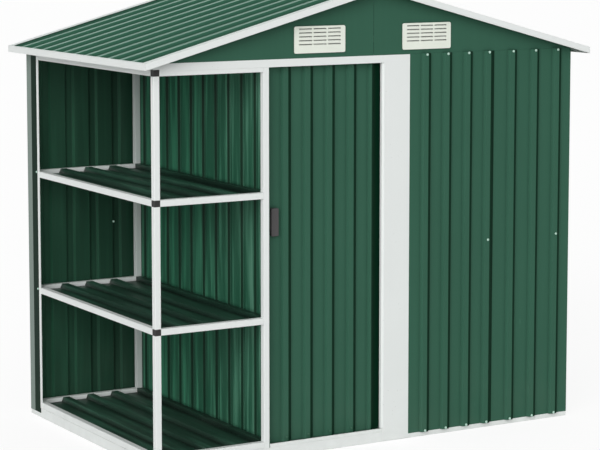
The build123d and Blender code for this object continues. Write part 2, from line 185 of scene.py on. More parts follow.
class Tree:
    """A tree of nodes, emptied before it is filled."""

    def __init__(self, tree: bpy.types.NodeTree) -> None:
        """Empties the tree of a material or a world."""
        self.tree = tree
        self.tree.nodes.clear()

    def node(self, kind: str, settings: dict | None = None, inputs: dict | None = None) -> bpy.types.Node:
        """Adds a node.

        Args:
            kind: The node's type.
            settings: Its properties, which are set first.
            inputs: Values or links of its sockets, by name or number.

        Returns:
            The node.
        """
        node = self.tree.nodes.new(kind)
        for name, value in (settings or {}).items():
            setattr(node, name, value)
        for key, value in (inputs or {}).items():
            self.feed(node.inputs[key], value)
        return node

    def feed(self, socket: bpy.types.NodeSocket, value: object) -> None:
        """Sets a socket or links something to it.

        Args:
            socket: The input socket.
            value: A number, a colour without alpha, a vector, a Value or an output socket.
        """
        if isinstance(value, Value):
            value = value.socket
        if isinstance(value, bpy.types.NodeSocket):
            self.tree.links.new(value, socket)
        elif socket.type == "RGBA":
            socket.default_value = (*value, 1)
        else:
            socket.default_value = value

    def ray(self, kind: str) -> Value:
        """1 for the rays of one output of the Light Path node, and 0 for others."""
        return Value(self, self.node("ShaderNodeLightPath").outputs[kind])


class Shader(Tree):
    """One material's node tree round a Principled shader."""

    def __init__(self, name: str, fold: float = 0.0) -> None:
        """Makes an empty material.

        Args:
            name: The material's name.
            fold: Radius over which sharp edges are rounded in the shading, in metres.
        """
        self.fold = fold
        self.material = bpy.data.materials.new(name)
        self.material.use_nodes = True
        super().__init__(self.material.node_tree)
        self.surface = self.node("ShaderNodeBsdfPrincipled")
        self.output = self.node("ShaderNodeOutputMaterial", {}, {"Surface": self.surface.outputs[0]})
        self.place = self.node("ShaderNodeTexCoord").outputs["Object"]

    def set(self, **inputs: object) -> None:
        """Sets sockets of the Principled shader, an underscore standing for a space."""
        for name, value in inputs.items():
            self.feed(self.surface.inputs[name.replace("_", " ")], value)

    def axes(self) -> tuple[Value, ...]:
        """The place on the surface as three numbers, in metres."""
        node = self.node("ShaderNodeSeparateXYZ", {}, {0: self.place})
        return tuple(Value(self, output) for output in node.outputs)

    def noise(self, clouds: Clouds) -> Value:
        """Cloudy noise.

        Args:
            clouds: Its scale, octaves and stretch.

        Returns:
            The noise, from 0 to 1.
        """
        spread = self.node("ShaderNodeVectorMath", {"operation": "MULTIPLY"}, {0: self.place, 1: clouds.stretch})
        inputs = {"Vector": spread.outputs[0], "Scale": clouds.per_metre, "Detail": clouds.detail}
        return Value(self, self.node("ShaderNodeTexNoise", {}, inputs).outputs["Fac"])

    def specks(self, per_metre: float) -> Value:
        """Distance to the nearest of scattered points, in cells."""
        node = self.node("ShaderNodeTexVoronoi", {}, {"Vector": self.place, "Scale": per_metre})
        return Value(self, node.outputs["Distance"])

    def rounded(self) -> bpy.types.NodeSocket:
        """The surface's normal, with its sharp edges taken as round."""
        return self.node("ShaderNodeBevel", {"samples": SHADER_SAMPLES}, {"Radius": self.fold}).outputs[0]

    def facing(self, way: Way) -> Value:
        """How far the surface looks in a direction.

        Args:
            way: The direction.

        Returns:
            The cosine between the surface's normal and the direction, from -1 to 1.
        """
        inputs = {0: self.rounded(), 1: tuple(way.value)}
        node = self.node("ShaderNodeVectorMath", {"operation": "DOT_PRODUCT"}, inputs)
        return Value(self, node.outputs["Value"])

    def openness(self, reach: float) -> Value:
        """How open the surface lies to neighbours within a reach, from 0 in a closed fold to 1."""
        node = self.node("ShaderNodeAmbientOcclusion", {"samples": SHADER_SAMPLES}, {"Distance": reach})
        return Value(self, node.outputs["AO"])

    def mix(self, mask: Value | float, low: object, high: object) -> bpy.types.NodeSocket:
        """Colour between two.

        Args:
            mask: 0 gives low and 1 gives high.
            low: A colour or a socket.
            high: A colour or a socket.

        Returns:
            The colour's socket.
        """
        node = self.node("ShaderNodeMix", {"data_type": "RGBA"})
        for socket, value in zip((s for s in node.inputs if s.enabled), (mask, low, high)):
            self.feed(socket, value)
        return next(s for s in node.outputs if s.enabled)

    def dim(self, colour: Colour, level: Value) -> bpy.types.NodeSocket:
        """A colour times a level, 1 leaving it as it is."""
        return self.node("ShaderNodeVectorMath", {"operation": "MULTIPLY"}, {0: colour, 1: level}).outputs[0]

    def bump(self, height: Value, depth: float, strength: float) -> None:
        """Feeds the normal.

        Args:
            height: Height over the surface, from 0 to 1.
            depth: What a height of 1 is, in metres.
            strength: Share of the effect.
        """
        inputs = {"Height": height, "Distance": depth, "Strength": strength}
        if self.fold:
            inputs["Normal"] = self.rounded()
        self.set(Normal=self.node("ShaderNodeBump", {}, inputs).outputs[0])


@dataclass(frozen=True)
class Patches:
    """Clouds that show only over a level."""

    clouds: Clouds
    shown: Band

    def mask(self, shader: Shader) -> Value:
        """Where they show, from 0 to 1."""
        return shader.noise(self.clouds).ramp(self.shown)


@dataclass(frozen=True)
class Splash:
    """Dust that rain splashes up from the ground, in patches."""

    height: Band
    patches: Patches
    share: float

    def mask(self, shader: Shader) -> Value:
        """Where it lies, from 0 to 1."""
        return shader.axes()[Z].ramp(self.height) * self.patches.mask(shader)


@dataclass(frozen=True)
class GrimeAndShade:
    """Grime and painted shade in folds and corners, part of it even and the rest cloudy."""

    reach: float
    closed: Band
    clouds: Clouds
    even: float
    share: float

    def mask(self, shader: Shader) -> Value:
        """Where the grime and painted shade lie, from 0 to 1."""
        settled = self.even + (1 - self.even) * shader.noise(self.clouds)
        return shader.openness(self.reach).ramp(self.closed) * settled


@dataclass(frozen=True)
class Relief:
    """Fine relief of a coat, from a fine and a coarse noise."""

    fine: Clouds
    coarse: Clouds
    fine_share: float
    depth: float
    strength: float = 0.5

    def emboss(self, shader: Shader) -> None:
        """Feeds the material's normal."""
        height = shader.noise(self.fine) * self.fine_share + shader.noise(self.coarse) * (1 - self.fine_share)
        shader.bump(height, self.depth, self.strength)


@dataclass(frozen=True)
class Tone(ABC):
    """What makes a paint darker or paler from place to place."""

    @abstractmethod
    def factor(self, shader: Shader) -> Value:
        """What the paint's colour is multiplied by, 1 leaving it as it is."""


@dataclass(frozen=True)
class SideShade(Tone):
    """Painted shade: the sheet's side that looks one way is darker."""

    way: Way
    level: float
    seen: Band = Band(0.0, 0.2)

    def factor(self, shader: Shader) -> Value:
        """What the paint's colour is multiplied by."""
        return 1 - (1 - self.level) * shader.facing(self.way).ramp(self.seen)


@dataclass(frozen=True)
class OpenSideLight(Tone):
    """Painted light: paint that gets paler towards the open side, and is paler on the ribs' flanks that look left or
    right.
    """

    across: Band
    level: float = 0.72
    gain: float = 1.3
    power: float = 4
    left_flank: float = 0.3
    right_flank: float = 0.9
    flank: Band = Band(0.4, 0.8)

    def factor(self, shader: Shader) -> Value:
        """What the paint's colour is multiplied by.

        Args:
            shader: The material's nodes.

        Returns:
            The factor, 1 leaving the colour as it is.
        """
        made = self.level + self.gain * shader.axes()[X].ramp(self.across) ** self.power
        for way, gain in ((Way.LEFT, self.left_flank), (Way.RIGHT, self.right_flank)):
            made = made * (1 + gain * shader.facing(way).ramp(self.flank))
        return made


@dataclass(frozen=True)
class FoldShade(Tone):
    """Painted shade: paint that is darker beside folds and tubes, where shade falls."""

    share: float
    reach: float
    closed: Band = Band(0.98, 0.8)

    def factor(self, shader: Shader) -> Value:
        """What the paint's colour is multiplied by."""
        return 1 - self.share * shader.openness(self.reach).ramp(self.closed)


@dataclass(frozen=True)
class SheenBands(Tone):
    """Painted sheen: paler and darker streaks along the way in which the sheet was rolled."""

    strength: float
    axis: Axis
    clouds: Clouds = Clouds(34, 2)
    pale: Band = Band(0.46, 0.7)
    mean: float = 0.35

    def mask(self, shader: Shader) -> Value:
        """Where the paler streaks of painted sheen lie, from 0 to 1."""
        return shader.noise(self.clouds.along(self.axis)).ramp(self.pale)

    def factor(self, shader: Shader) -> Value:
        """What the paint's colour is multiplied by."""
        return 1 + self.strength * (self.mask(shader) - self.mean)


@dataclass(frozen=True)
class Sheen:
    """Painted highlights: pale glints in the bands of a sheet, which grow stronger towards the front."""

    sheen_bands: SheenBands
    depth: Band
    share: float = 0.6
    colour: Colour = paint(112, 144, 130)

    def cover(self, shader: Shader, body: bpy.types.NodeSocket) -> bpy.types.NodeSocket:
        """Lays the painted glints over a colour."""
        near = shader.axes()[Y].ramp(self.depth)
        return shader.mix(near * near * self.sheen_bands.mask(shader) * self.share, body, self.colour)


@dataclass(frozen=True)
class PaintedShade(ABC):
    """Painted shade: a dark colour laid over the paint where it is always in shade."""

    colour: Colour = paint(0, 42, 24)
    share: float = 0.96

    @abstractmethod
    def mask(self, shader: Shader) -> Value:
        """Where the painted shade lies, from 0 to 1."""


@dataclass(frozen=True, kw_only=True)
class GrooveShade(PaintedShade):
    """Painted shade on the flanks that look to the front, in the grooves of a wall that runs from front to back."""

    face: float
    below: Band = Band(0.5 * MM, 2 * MM)
    above: Band = Band(11 * MM, 9 * MM)
    outside: Band = Band(-0.5, -0.3)
    front: Band = Band(0.15, 0.4)

    def mask(self, shader: Shader) -> Value:
        """Where the painted shade lies.

        Args:
            shader: The material's nodes.

        Returns:
            A mask from 0 to 1.
        """
        into = shader.axes()[X] - self.face
        deep = into.ramp(self.below) * into.ramp(self.above)
        outside = shader.facing(Way.LEFT).ramp(self.outside)
        return deep * outside * shader.facing(Way.FRONT).ramp(self.front)


@dataclass(frozen=True, kw_only=True)
class RibShade(PaintedShade):
    """Painted shade on each rib's right shoulder and painted shadow in the corner beside it, on a wall that looks to
    the front.
    """

    first: float
    pitch: float
    end: float | None = None
    shoulder: float = 6 * MM
    foot: float = 11 * MM
    blur: float = 2 * MM
    end_blur: float = 1 * MM

    @classmethod
    def on(cls, name: str, end_hidden: bool = False, half_crest: float = 14 * MM) -> "RibShade":
        """The painted shade of one sheet.

        Args:
            name: The sheet's node.
            end_hidden: Whether all that lies behind the last rib's middle is painted as in shadow.
            half_crest: Half the width of a rib's crest, in metres.

        Returns:
            The film.
        """
        crests = Node(name).crests(Way.FRONT, X)
        end = crests[-1] if end_hidden else None
        return cls(first=crests[0] + half_crest, pitch=crests[1] - crests[0], end=end)

    def mask(self, shader: Shader) -> Value:
        """Where the painted shade lies.

        Args:
            shader: The material's nodes.

        Returns:
            A mask from 0 to 1.
        """
        across = shader.axes()[X]
        half = self.pitch / 2
        away = ((across - (self.first - half)) / self.pitch).fraction() * self.pitch - half
        lines = away.ramp(Band(-self.shoulder - self.blur, -self.shoulder))
        lines = lines * away.ramp(Band(self.foot + self.blur, self.foot))
        if self.end is None:
            return lines
        return lines.most(across.ramp(Band(self.end - self.end_blur, self.end + self.end_blur)))


@dataclass(frozen=True)
class Finish(ABC):
    """What a surface is made of."""

    name: str
    colour: Colour

    @abstractmethod
    def build(self) -> bpy.types.Material:
        """Makes the material."""


# Grime and painted shade in the sheets' folds.
SHEET_GRIME_AND_SHADE = GrimeAndShade(16 * MM, Band(0.96, 0.58), Clouds(26, 3), even=0.6, share=0.85)


@cache
def material_of(finish: Finish) -> bpy.types.Material:
    """The material of a finish, which is made once.

    Args:
        finish: The finish.

    Returns:
        The material.
    """
    return finish.build()


@dataclass(frozen=True)
class PaintedSheet(Finish):
    """Coil-coated steel sheet: a smooth semi-gloss paint with faint streaks, soil and painted shade, scuffs and
    orange peel.
    """

    streaks: Axis
    tones: tuple[Tone, ...] = ()
    sheen: Sheen | None = None
    painted_shade: PaintedShade | None = None
    roughness: float = 0.36
    specular: float = 0.4
    fold: float = 1.5 * MM
    grime_and_shade: GrimeAndShade = SHEET_GRIME_AND_SHADE
    grime_and_shade_gain: float = 0.15
    splash: Splash = Splash(Band(320 * MM, 20 * MM), Patches(Clouds(9, 4), Band(0.35, 0.75)), share=0.08)
    splash_colour: Colour = paint(120, 126, 112)
    scuffs: Patches = Patches(Clouds(34, 2, (1.0, 1.0, 0.2)), Band(0.735, 0.765))
    scuff_zones: Patches = Patches(Clouds(5, 1), Band(0.5, 0.62))
    scuff_share: float = 0.25
    scuff_gain: float = 1.9
    scuff_lift: float = 0.02
    clouds: Clouds = Clouds(2.3, 3)
    wide_streaks: Clouds = Clouds(70, 3)
    fine_streaks: Clouds = Clouds(420, 2)
    plain_level: float = 0.90
    cloud_level: float = 0.10
    wide_level: float = 0.08
    fine_level: float = 0.03
    cloud_roughness: float = 0.08
    streak_roughness: float = 0.07
    splash_roughness: float = 0.20
    scuff_roughness: float = 0.12
    peel: Relief = Relief(Clouds(330, 2), Clouds(46, 2), fine_share=0.6, depth=0.16 * MM)

    def build(self) -> bpy.types.Material:
        """Makes the material.

        Returns:
            The material.
        """
        shader = Shader(self.name, self.fold)
        cloud = shader.noise(self.clouds)
        wide = shader.noise(self.wide_streaks.along(self.streaks))
        fine = shader.noise(self.fine_streaks.along(self.streaks))
        level = self.plain_level + self.cloud_level * cloud + self.wide_level * wide + self.fine_level * fine
        # Tones lay painted shade, painted light and painted sheen on the colour.
        for tone in self.tones:
            level = level * tone.factor(shader)
        body = shader.dim(self.colour, level)
        # Painted highlights.
        if self.sheen:
            body = self.sheen.cover(shader, body)
        splash = self.splash.mask(shader)
        scuff = self.scuffs.mask(shader) * self.scuff_zones.mask(shader)
        body = shader.mix(splash * self.splash.share, body, self.splash_colour)
        # Grime and painted shade in the folds.
        body = shader.mix(self.grime_and_shade.mask(shader) * self.grime_and_shade.share, body, shade(self.colour, self.grime_and_shade_gain))
        body = shader.mix(scuff * self.scuff_share, body, shade(self.colour, self.scuff_gain, self.scuff_lift))
        # Painted shade and painted shadow laid over the colour.
        if self.painted_shade:
            body = shader.mix(self.painted_shade.mask(shader) * self.painted_shade.share, body, self.painted_shade.colour)
        rough = self.roughness + self.cloud_roughness * cloud + self.streak_roughness * wide
        rough = rough + self.splash_roughness * splash + self.scuff_roughness * scuff
        shader.set(Base_Color=body, Roughness=rough, Specular_IOR_Level=self.specular)
        self.peel.emboss(shader)
        return shader.material


@dataclass(frozen=True)
class CoatedSteel(Finish):
    """Powder-coated rail or tube: an even coat with a fine pebble, few chips, and corners greyed by grime and painted
    shade.
    """

    soil_and_shade_colour: Colour
    roughness: float = 0.42
    fold: float = 1.5 * MM
    grime_and_shade: GrimeAndShade = GrimeAndShade(12 * MM, Band(0.9, 0.3), Clouds(31, 3), even=0.3, share=0.30)
    splash: Splash = Splash(Band(110 * MM, 0.0), Patches(Clouds(17, 4), Band(0.3, 0.75)), share=0.15)
    chips_per_metre: float = 55
    chip_size: Band = Band(0.07, 0.045)
    chip_zones: Patches = Patches(Clouds(6, 1), Band(0.56, 0.6))
    chip_share: float = 0.6
    chip_colour: Colour = paint(118, 121, 120)
    clouds: Clouds = Clouds(3.1, 3)
    fine_clouds: Clouds = Clouds(140, 2)
    plain_level: float = 0.975
    cloud_level: float = 0.035
    fine_level: float = 0.012
    cloud_roughness: float = 0.12
    splash_roughness: float = 0.2
    pebble: Relief = Relief(Clouds(900, 1), Clouds(210, 2), fine_share=0.7, depth=0.09 * MM)

    def build(self) -> bpy.types.Material:
        """Makes the material.

        Returns:
            The material.
        """
        shader = Shader(self.name, self.fold)
        cloud = shader.noise(self.clouds)
        level = self.plain_level + self.cloud_level * cloud + self.fine_level * shader.noise(self.fine_clouds)
        body = shader.dim(self.colour, level)
        splash = self.splash.mask(shader)
        chip = shader.specks(self.chips_per_metre).ramp(self.chip_size) * self.chip_zones.mask(shader)
        # Grime and painted shade in corners, then dust near the ground.
        body = shader.mix(self.grime_and_shade.mask(shader) * self.grime_and_shade.share, body, self.soil_and_shade_colour)
        body = shader.mix(splash * self.splash.share, body, self.soil_and_shade_colour)
        body = shader.mix(chip * self.chip_share, body, self.chip_colour)
        rough = self.roughness + self.cloud_roughness * cloud + self.splash_roughness * splash
        shader.set(Base_Color=body, Roughness=rough)
        self.pebble.emboss(shader)
        return shader.material


@dataclass(frozen=True)
class MouldedPlastic(Finish):
    """Moulded plastic: a fine spark-eroded grain, and dirt and painted shade in its slots and corners."""

    roughness: float = 0.45
    depth: float = 0.12 * MM
    soil_and_shade_share: float = 0.3
    soil_and_shade_gain: float = 0.12
    soil_and_shade_reach: float = 8 * MM
    soil_and_shade_closed: Band = Band(0.9, 0.45)
    fold: float = 1.2 * MM
    clouds: Clouds = Clouds(12, 3)
    plain_level: float = 0.9
    cloud_level: float = 0.12
    cloud_roughness: float = 0.14
    grain: Clouds = Clouds(1300, 2)
    grain_share: float = 0.6
    pits_per_metre: float = 800
    grain_strength: float = 0.45

    def build(self) -> bpy.types.Material:
        """Makes the material.

        Returns:
            The material.
        """
        shader = Shader(self.name, self.fold)
        cloud = shader.noise(self.clouds)
        body = shader.dim(self.colour, self.plain_level + self.cloud_level * cloud)
        # Dirt and painted shade in slots and corners.
        soil_and_shade = shader.openness(self.soil_and_shade_reach).ramp(self.soil_and_shade_closed) * self.soil_and_shade_share
        body = shader.mix(soil_and_shade, body, shade(self.colour, self.soil_and_shade_gain))
        shader.set(Base_Color=body, Roughness=self.roughness + self.cloud_roughness * cloud)
        pits = shader.specks(self.pits_per_metre) * (1 - self.grain_share)
        height = shader.noise(self.grain) * self.grain_share + pits
        shader.bump(height, self.depth, self.grain_strength)
        return shader.material


@dataclass(frozen=True)
class LacqueredSteel(Finish):
    """Lacquered screw head: a thin coat through which the zinc's spangles show."""

    spangles: Clouds = Clouds(500, 2)
    plain_level: float = 0.85
    spangle_level: float = 0.25
    roughness: float = 0.36
    spangle_roughness: float = 0.2
    depth: float = 0.05 * MM
    strength: float = 0.5

    def build(self) -> bpy.types.Material:
        """Makes the material.

        Returns:
            The material.
        """
        shader = Shader(self.name)
        spangle = shader.noise(self.spangles)
        body = shader.dim(self.colour, self.plain_level + self.spangle_level * spangle)
        shader.set(Base_Color=body, Roughness=self.roughness + self.spangle_roughness * spangle)
        shader.bump(spangle, self.depth, self.strength)
        return shader.material


# Painted sheen streaks on the partition, which also carry its painted highlights.
PARTITION_SHEEN_BANDS = SheenBands(strength=0.8, axis=Axis.UPRIGHT)
TRAY_FOLD = 30 * MM

WALL = PaintedSheet(
    "wall_paint", paint(55, 99, 80), Axis.UPRIGHT, grime_and_shade=replace(SHEET_GRIME_AND_SHADE, share=0.45), specular=0.18
)
PARTITION = PaintedSheet(
    "partition_paint", paint(54, 115, 89), Axis.UPRIGHT, (PARTITION_SHEEN_BANDS,),
    Sheen(PARTITION_SHEEN_BANDS, Band(300 * MM, -580 * MM)), specular=0.14,
)
# The rack's back wall: painted shade on its side that looks to the front, and painted sheen streaks.
INNER = PaintedSheet(
    "back_wall_paint", paint(48, 97, 74), Axis.UPRIGHT,
    (SideShade(Way.FRONT, level=0.7), SheenBands(strength=0.3, axis=Axis.UPRIGHT)),
    grime_and_shade=replace(SHEET_GRIME_AND_SHADE, share=0.35),
)
# Painted shade: the corner panel's green darkened to how it looks in shade.
CORNER_SHADE = PaintedSheet("corner_shade_paint", paint(16, 44, 32), Axis.UPRIGHT, specular=0.1)
ROOF = PaintedSheet("roof_paint", paint(54, 106, 84), Axis.ACROSS, roughness=0.3)
# The trays: painted shade beside folds and tubes, grime and painted shade in the folds, and painted sheen streaks.
SHELF = PaintedSheet(
    "shelf_paint", paint(49, 88, 71), Axis.DEEP,
    (FoldShade(share=0.45, reach=TRAY_FOLD), SheenBands(strength=0.8, axis=Axis.DEEP)),
    grime_and_shade=replace(SHEET_GRIME_AND_SHADE, reach=TRAY_FOLD, share=0.9), specular=0.5,
)
WHITE = CoatedSteel("white_coat", paint(240, 244, 242), paint(150, 150, 142))
SHADED = replace(WHITE, name="shaded_coat", colour=paint(210, 217, 214))
ANGLE = CoatedSteel("grey_coat", paint(131, 147, 139), paint(64, 72, 66))
BLACK = MouldedPlastic("connector_plastic", paint(54, 53, 53))
HANDLE = MouldedPlastic("handle_plastic", paint(84, 82, 83))
GLIDE = MouldedPlastic("glide_plastic", paint(190, 190, 186))
# The vents: the darkest dirt and painted shade in their slots.
VENT = MouldedPlastic("vent_plastic", paint(247, 252, 240), roughness=0.38, depth=0.05 * MM, soil_and_shade_share=1.0)
SCREW_WHITE = LacqueredSteel("screw_white", paint(198, 230, 215))
SCREW_GREEN = LacqueredSteel("screw_green", paint(60, 108, 84))

NODE_FINISHES = {
    WALL: ("right_wall", "shed_back_wall", "gable_front", "gable_back", "door_rails"),
    CORNER_SHADE: ("rack_corner_panel",),
    ROOF: ("roof_left", "roof_right", "ridge_cap"),
    SHELF: ("shelf_bottom", "shelf_lower", "shelf_upper"),
    WHITE: (
        "base_rail_front", "base_rail_back", "base_rails_side", "base_rail_partition",
        "rack_ring_bottom", "rack_ring_lower", "rack_ring_upper", "rack_ring_top",
        "rack_posts_front", "rack_corner_trim", "beam_front", "beam_back",
        "beams_side", "beam_partition", "corner_posts", "door_stile", "door_tracks",
        "eave_trims", "verge_trim_front", "verge_trim_back", "ridge_beam",
    ),
    SHADED: ("rack_posts_back",),
    ANGLE: ("rack_corner_angle",),
    BLACK: ("rack_connectors",),
    HANDLE: ("door_handle",),
    GLIDE: ("door_glides",),
    VENT: ("vents",),
}


@dataclass(frozen=True)
class Node:
    """Shape of a CAD node, read from its mesh in the shared frame."""

    name: str

    def points(self) -> list[Vector]:
        """The mesh's corners, in metres."""
        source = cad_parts[self.name]
        return [source.matrix_world @ vertex.co for vertex in source.data.vertices]

    def box(self) -> tuple[Vector, Vector]:
        """The lowest and highest corner of the node's bounding box."""
        low, high = (Vector(map(pick, zip(*self.points()))) for pick in (min, max))
        return low, high

    def face(self, way: Way) -> float:
        """How far the node reaches in a direction, negative behind the origin."""
        return max(point.dot(way.value) for point in self.points())

    def crests(self, way: Way, across: int) -> list[float]:
        """Middles of the ribs' crests on a ribbed sheet.

        Args:
            way: The direction in which the crests stand out.
            across: The axis along which the ribs follow each other.

        Returns:
            The middles in rising order.
        """
        reach = self.face(way)
        on_crest = (point for point in self.points() if reach - point.dot(way.value) < TOUCH)
        edges = sorted({round(point[across], PLACE_DIGITS) for point in on_crest})
        return [(low + high) / 2 for low, high in zip(edges[::2], edges[1::2])]


@dataclass
class Mesh:
    """Corners and faces of one piece while it is being built."""

    corners: list[Vector] = field(default_factory=list)
    faces: list[tuple[int, ...]] = field(default_factory=list)

    def rings(self, rings: list[list[Vector]], cap: Vector) -> None:
        """Skins rings of equal count, closes the first and draws the last together in a point.

        Args:
            rings: The rings, each in turn round the same axis.
            cap: The point in the last ring's middle.
        """
        start = len(self.corners)
        count = len(rings[0])
        self.corners.extend([*(corner for ring in rings for corner in ring), cap])
        middle = len(self.corners) - 1
        self.faces.append(tuple(reversed(range(start, start + count))))
        for level in range(len(rings) - 1):
            low = start + level * count
            for number in range(count):
                after = (number + 1) % count
                self.faces.append((low + number, low + after, low + count + after, low + count + number))
        last = start + (len(rings) - 1) * count
        for number in range(count):
            self.faces.append((last + number, last + (number + 1) % count, middle))

    def prism(self, outline: list[Vector], run: Vector) -> None:
        """Draws a closed outline out into a bar.

        Args:
            outline: The outline's corners, turning left as seen against the run.
            run: How far and which way it is drawn.
        """
        start = len(self.corners)
        count = len(outline)
        self.corners.extend([*outline, *(corner + run for corner in outline)])
        self.faces.append(tuple(range(start, start + count)))
        self.faces.append(tuple(reversed(range(start + count, start + 2 * count))))
        for number in range(count):
            after = (number + 1) % count
            self.faces.append((start + after, start + number, start + count + number, start + count + after))

    def piece(self, name: str, body: str, slot: str, finish: Finish) -> bpy.types.Object:
        """Makes the object that rides on a body.

        Args:
            name: The piece's name.
            body: The body on which it rides.
            slot: The material slot that it belongs to; not used.
            finish: What it is made of.

        Returns:
            The object.
        """
        mesh = bpy.data.meshes.new(name)
        mesh.from_pydata(self.corners, [], self.faces)
        mesh.materials.append(material_of(finish))
        made = bpy.data.objects.new(name, mesh)
        bpy.context.scene.collection.objects.link(made)
        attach(made, body)
        log.info("%s: %d faces on %s", name, len(mesh.polygons), body)
        return made


@dataclass(frozen=True)
class Screw:
    """Pan-head screw on a washer, with a tapered cross recess."""

    washer: float = 5.2 * MM
    washer_height: float = 1.4 * MM
    washer_edge: float = 0.5 * MM
    head: float = 3.9 * MM
    head_height: float = 2.3 * MM
    head_round: float = 1.2 * MM
    recess: float = 2.5 * MM
    recess_core: float = 0.9 * MM
    recess_depth: float = 1.3 * MM
    recess_lip: float = 0.1 * MM
    recess_arms: int = 4
    arm_reach: int = 1
    sunk: float = 0.1 * MM
    segments: int = 24
    round_steps: int = 3

    def profile(self) -> list[tuple[float, float]]:
        """Radius and height of the rings, from the sheet to the recess's edge.

        Returns:
            The pairs in order.
        """
        top = self.washer_height + self.head_height
        angles = [step * pi / 2 / self.round_steps for step in range(self.round_steps + 1)]
        shoulder = [
            (self.head - self.head_round * (1 - cos(angle)), top - self.head_round * (1 - sin(angle)))
            for angle in angles
        ]
        return [
            (self.washer, -self.sunk),
            (self.washer, self.washer_height - self.washer_edge),
            (self.washer - self.washer_edge, self.washer_height),
            (self.head, self.washer_height),
            *shoulder,
            (self.recess, top),
        ]

    def stamp(self, mesh: Mesh, place: Vector, way: Vector, turn: float) -> None:
        """Adds the screw to a mesh.

        Args:
            mesh: The mesh.
            place: Where its axis meets the surface.
            way: The direction of its head.
            turn: How far its recess is turned, in radians.
        """
        side = way.orthogonal().normalized()
        up = way.cross(side)
        spacing = self.segments // self.recess_arms
        top = self.washer_height + self.head_height

        def ring(radius: float, heights: Sequence[float]) -> list[Vector]:
            """One ring of corners round the screw's axis.

            Args:
                radius: The ring's radius.
                heights: Height of each corner over the surface.

            Returns:
                The corners.
            """
            made = []
            for number, height in enumerate(heights):
                angle = turn + number * 2 * pi / self.segments
                made.append(place + way * height + (side * cos(angle) + up * sin(angle)) * radius)
            return made

        steps = [min(number % spacing, spacing - number % spacing) for number in range(self.segments)]
        lip = [top - self.recess_depth * (step <= self.arm_reach) for step in steps]
        rings = [ring(radius, [height] * self.segments) for radius, height in self.profile()]
        rings.append(ring(self.recess - self.recess_lip, lip))
        rings.append(ring(self.recess_core, [top - self.recess_depth] * self.segments))
        mesh.rings(rings, place + way * (top - self.recess_depth))


@dataclass
class ShelfEdges:
    """Turned edges of the shelf trays, which lap over the tubes along the partition."""

    name: str = "shelf_edges"
    sheet: float = 1.0 * MM
    gap: float = 0.2 * MM
    levels: tuple[str, ...] = ("bottom", "lower", "upper")

    def build(self) -> bpy.types.Object:
        """Folds one edge on each tray.

        Returns:
            The piece.
        """
        mesh = Mesh()
        for level in self.levels:
            tray_low, tray_high = Node(f"shelf_{level}").box()
            tube_end = Node(f"rack_ring_{level}").box()[1]
            inner = tray_high.x - self.gap
            under = tube_end.z + self.gap
            outline = (
                (inner - self.sheet, tray_low.z + self.sheet),
                (inner, tray_low.z + self.sheet),
                (inner, under),
                (tube_end.x - self.gap, under),
                (tube_end.x - self.gap, under + self.sheet),
                (inner - self.sheet, under + self.sheet),
            )
            run = Vector((0, tray_high.y - tray_low.y, 0))
            mesh.prism([Vector((x, tray_low.y, z)) for x, z in outline], run)
        return mesh.piece(self.name, "shed", "wall_green", SHELF)


@dataclass
class Fastenings(ABC):
    """Screws of one sub-assembly, joined in one piece."""

    name: str = "screws"
    body: str = "shed"
    slot: str = "white_steel"
    finish: Finish = SCREW_WHITE
    screw: Screw = Screw()
    seed: int = 1

    @abstractmethod
    def places(self) -> Iterator[tuple[Vector, Vector]]:
        """Place and direction of each head."""

    def build(self) -> bpy.types.Object:
        """Stamps the screws, each turned by chance.

        Returns:
            The piece.
        """
        chance = Random(self.seed)
        mesh = Mesh()
        for place, way in self.places():
            self.screw.stamp(mesh, place, way, chance.uniform(0, pi / 2))
        return mesh.piece(self.name, self.body, self.slot, self.finish)


@dataclass
class WallFastenings(Fastenings):
    """Screws through the crests of the wall sheets, into the base rails and the beams."""

    name: str = "wall_screws"
    seed: int = 11
    foot: float = 5.5 * MM
    head: float = 5 * MM
    middle: float = 785 * MM
    sheets: tuple[tuple[str, Way, int], ...] = (
        ("front_wall_inner", Way.FRONT, X),
        ("front_wall_corner", Way.FRONT, X),
        ("right_wall", Way.RIGHT, Y),
        ("shed_back_wall", Way.BACK, X),
        ("rack_back_wall", Way.BACK, X),
    )

    def places(self) -> Iterator[tuple[Vector, Vector]]:
        """Foot and head of each crest, and about halfway up each sheet's last crest.

        Returns:
            Place and direction of each head.
        """
        for name, way, across in self.sheets:
            sheet = Node(name)
            low, high = sheet.box()
            crests = sheet.crests(way, across)
            levels = [(crest, z) for crest in crests for z in (low.z + self.foot, high.z - self.head)]
            for crest, z in [*levels, (crests[-1], self.middle)]:
                place = way.value * sheet.face(way)
                place[across] = crest
                place.z = z
                yield place, way.value


@dataclass
class CornerFastenings(Fastenings):
    """Screws in the rack's back corner: in the flat panel, and one inside on the back wall."""

    name: str = "corner_screws"
    seed: int = 12
    screw: Screw = Screw(washer=4.6 * MM, head=3.6 * MM, head_height=1.8 * MM, head_round=1.0 * MM, recess=2.1 * MM)
    levels: tuple[float, ...] = (548 * MM, 1042 * MM)
    from_front: float = 0.2
    inside_x: float = -574 * MM
    inside_z: float = 794 * MM

    def places(self) -> Iterator[tuple[Vector, Vector]]:
        """One over the other on the panel, then on the wall.

        Returns:
            Place and direction of each head.
        """
        low, high = Node("rack_corner_panel").box()
        for z in self.levels:
            yield Vector((low.x, low.y + (high.y - low.y) * self.from_front, z)), Way.LEFT.value
        inner = Node("rack_back_wall").box()[0].y
        yield Vector((self.inside_x, inner, self.inside_z)), Way.FRONT.value


